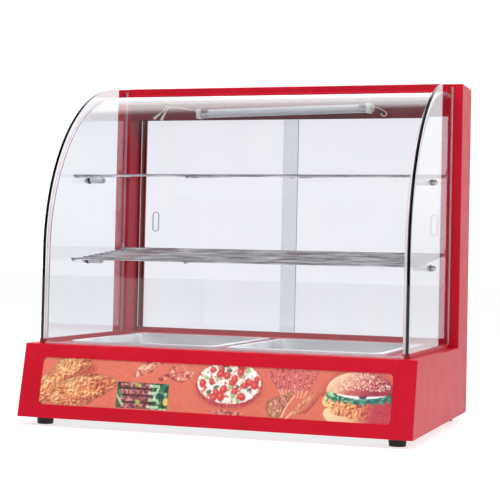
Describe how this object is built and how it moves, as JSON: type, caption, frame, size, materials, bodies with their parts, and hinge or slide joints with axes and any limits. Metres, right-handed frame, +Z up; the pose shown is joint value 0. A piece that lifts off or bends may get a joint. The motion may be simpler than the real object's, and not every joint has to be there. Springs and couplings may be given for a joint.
{
  "type": "hot food display case",
  "caption": "Counter-top heated display case: curved front glass, flat side glasses, sliding glass rear doors, wire racks over lift-out pans in a base with a printed front.",
  "frame": {"origin": "middle of the overall box, on the surface that the feet stand on", "axes": "+X to the right seen by the customer, -Y towards the customer, +Z up"},
  "size_m": [0.66, 0.49, 0.596],
  "materials": {
    "red_paint": "satin powder coat",
    "dark_frame": "satin",
    "printed_panel": "printed gloss",
    "zinc_steel": "galvanised",
    "stainless": "brushed",
    "element_steel": "heat darkened",
    "clear_glass": "polished",
    "clear_silicone": "clear, soft",
    "black_rubber": "matt",
    "chrome_wire": "plated wire",
    "steel_screws": "zinc plated",
    "white_plastic": "moulded",
    "white_enamel": "enamel",
    "lamp_glass": "frosted",
    "cap_metal": "pressed",
    "cream_lead": "flexible",
    "grey_lead": "flexible",
    "black_plastic": "moulded",
    "clear_plastic": "moulded, translucent",
    "dial_metal": "printed",
    "shaft_steel": "turned",
    "copper_tube": "drawn",
    "red_lens": "translucent red",
    "white_ceramic": "unglazed"
  },
  "bodies": {
    "case": {"base_front_panel": "red_paint", "base_side_left": "red_paint", "base_side_right": "red_paint", "bottom_plate": "zinc_steel", "bottom_rail": "red_paint", "cable_gland": "black_plastic", "dial_plate": "dial_metal", "door_jambs": "dark_frame", "foot_screws": "steel_screws", "front_glass": "clear_glass", "front_glass_seals": "clear_silicone", "glass_beads": "clear_silicone", "graphic_panel": "printed_panel", "graphic_rails": "zinc_steel", "heat_tray": "zinc_steel", "heating_elements": "element_steel", "lamp_batten": "white_enamel", "lamp_connectors": "cream_lead", "lamp_holders": "white_plastic", "lamp_leads": "cream_lead", "lamp_panel": "dark_frame", "light_switch": "black_plastic", "lower_door_track": "red_paint", "pilot_lamp": "red_lens", "post_left": "red_paint", "post_right": "red_paint", "power_switch": "black_plastic", "rack_cap_nuts": "steel_screws", "rack_hooks": "chrome_wire", "rack_screws": "steel_screws", "rack_sleeves": "clear_plastic", "rack_washers": "black_rubber", "rear_panel": "red_paint", "rear_screws": "steel_screws", "rubber_feet": "black_rubber", "side_glass_channels": "red_paint", "side_glass_left": "clear_glass", "side_glass_right": "clear_glass", "side_glass_seals": "clear_silicone", "supply_leads": "grey_lead", "terminal_block": "white_ceramic", "thermostat_body": "black_plastic", "thermostat_bulb": "copper_tube", "top_cover": "red_paint", "top_deck": "red_paint", "upper_door_track": "dark_frame"},
    "door_left": {"door_left": "clear_glass", "door_pull_left": "clear_plastic"},
    "door_right": {"door_right": "clear_glass", "door_pull_right": "clear_plastic"},
    "knob": {"thermostat_knob": "black_plastic", "thermostat_shaft": "shaft_steel"},
    "power_rocker": {"power_rocker": "red_lens"},
    "light_rocker": {"light_rocker": "red_lens"},
    "pan_left": {"pan_left": "stainless"},
    "pan_right": {"pan_right": "stainless"},
    "rack_upper": {"rack_upper": "chrome_wire"},
    "rack_lower": {"rack_lower": "chrome_wire"},
    "tube": {"lamp_tube": "lamp_glass", "lamp_tube_caps": "cap_metal"}
  },
  "joints": [
    {"name": "door_left_slide", "type": "slide", "parent": "case", "child": "door_left", "axis": [1, 0, 0], "range_m": [0, 0.27]},
    {"name": "door_right_slide", "type": "slide", "parent": "case", "child": "door_right", "axis": [-1, 0, 0], "range_m": [0, 0.27]},
    {"name": "knob_turn", "type": "hinge", "parent": "case", "child": "knob", "pos_m": [-0.183, 0.226, 0.073], "axis": [0, 1, 0], "range_deg": [0, 270]},
    {"name": "power_rocker_tilt", "type": "hinge", "parent": "case", "child": "power_rocker", "pos_m": [-0.096, 0.223, 0.073], "axis": [1, 0, 0], "range_deg": [0, 14]},
    {"name": "light_rocker_tilt", "type": "hinge", "parent": "case", "child": "light_rocker", "pos_m": [-0.05, 0.223, 0.073], "axis": [1, 0, 0], "range_deg": [0, 14]},
    {"name": "pan_left_lift", "type": "slide", "parent": "case", "child": "pan_left", "axis": [0, 0, 1], "range_m": [0, 0.12]},
    {"name": "pan_right_lift", "type": "slide", "parent": "case", "child": "pan_right", "axis": [0, 0, 1], "range_m": [0, 0.12]},
    {"name": "rack_upper_lift", "type": "slide", "parent": "case", "child": "rack_upper", "axis": [0, 0, 1], "range_m": [0, 0.014]},
    {"name": "rack_lower_lift", "type": "slide", "parent": "case", "child": "rack_lower", "axis": [0, 0, 1], "range_m": [0, 0.014]},
    {"name": "tube_twist", "type": "hinge", "parent": "case", "child": "tube", "pos_m": [0.0105, 0.102, 0.5495], "axis": [0.9998, 0, 0.0209], "range_deg": [-90, 90]}
  ]
}
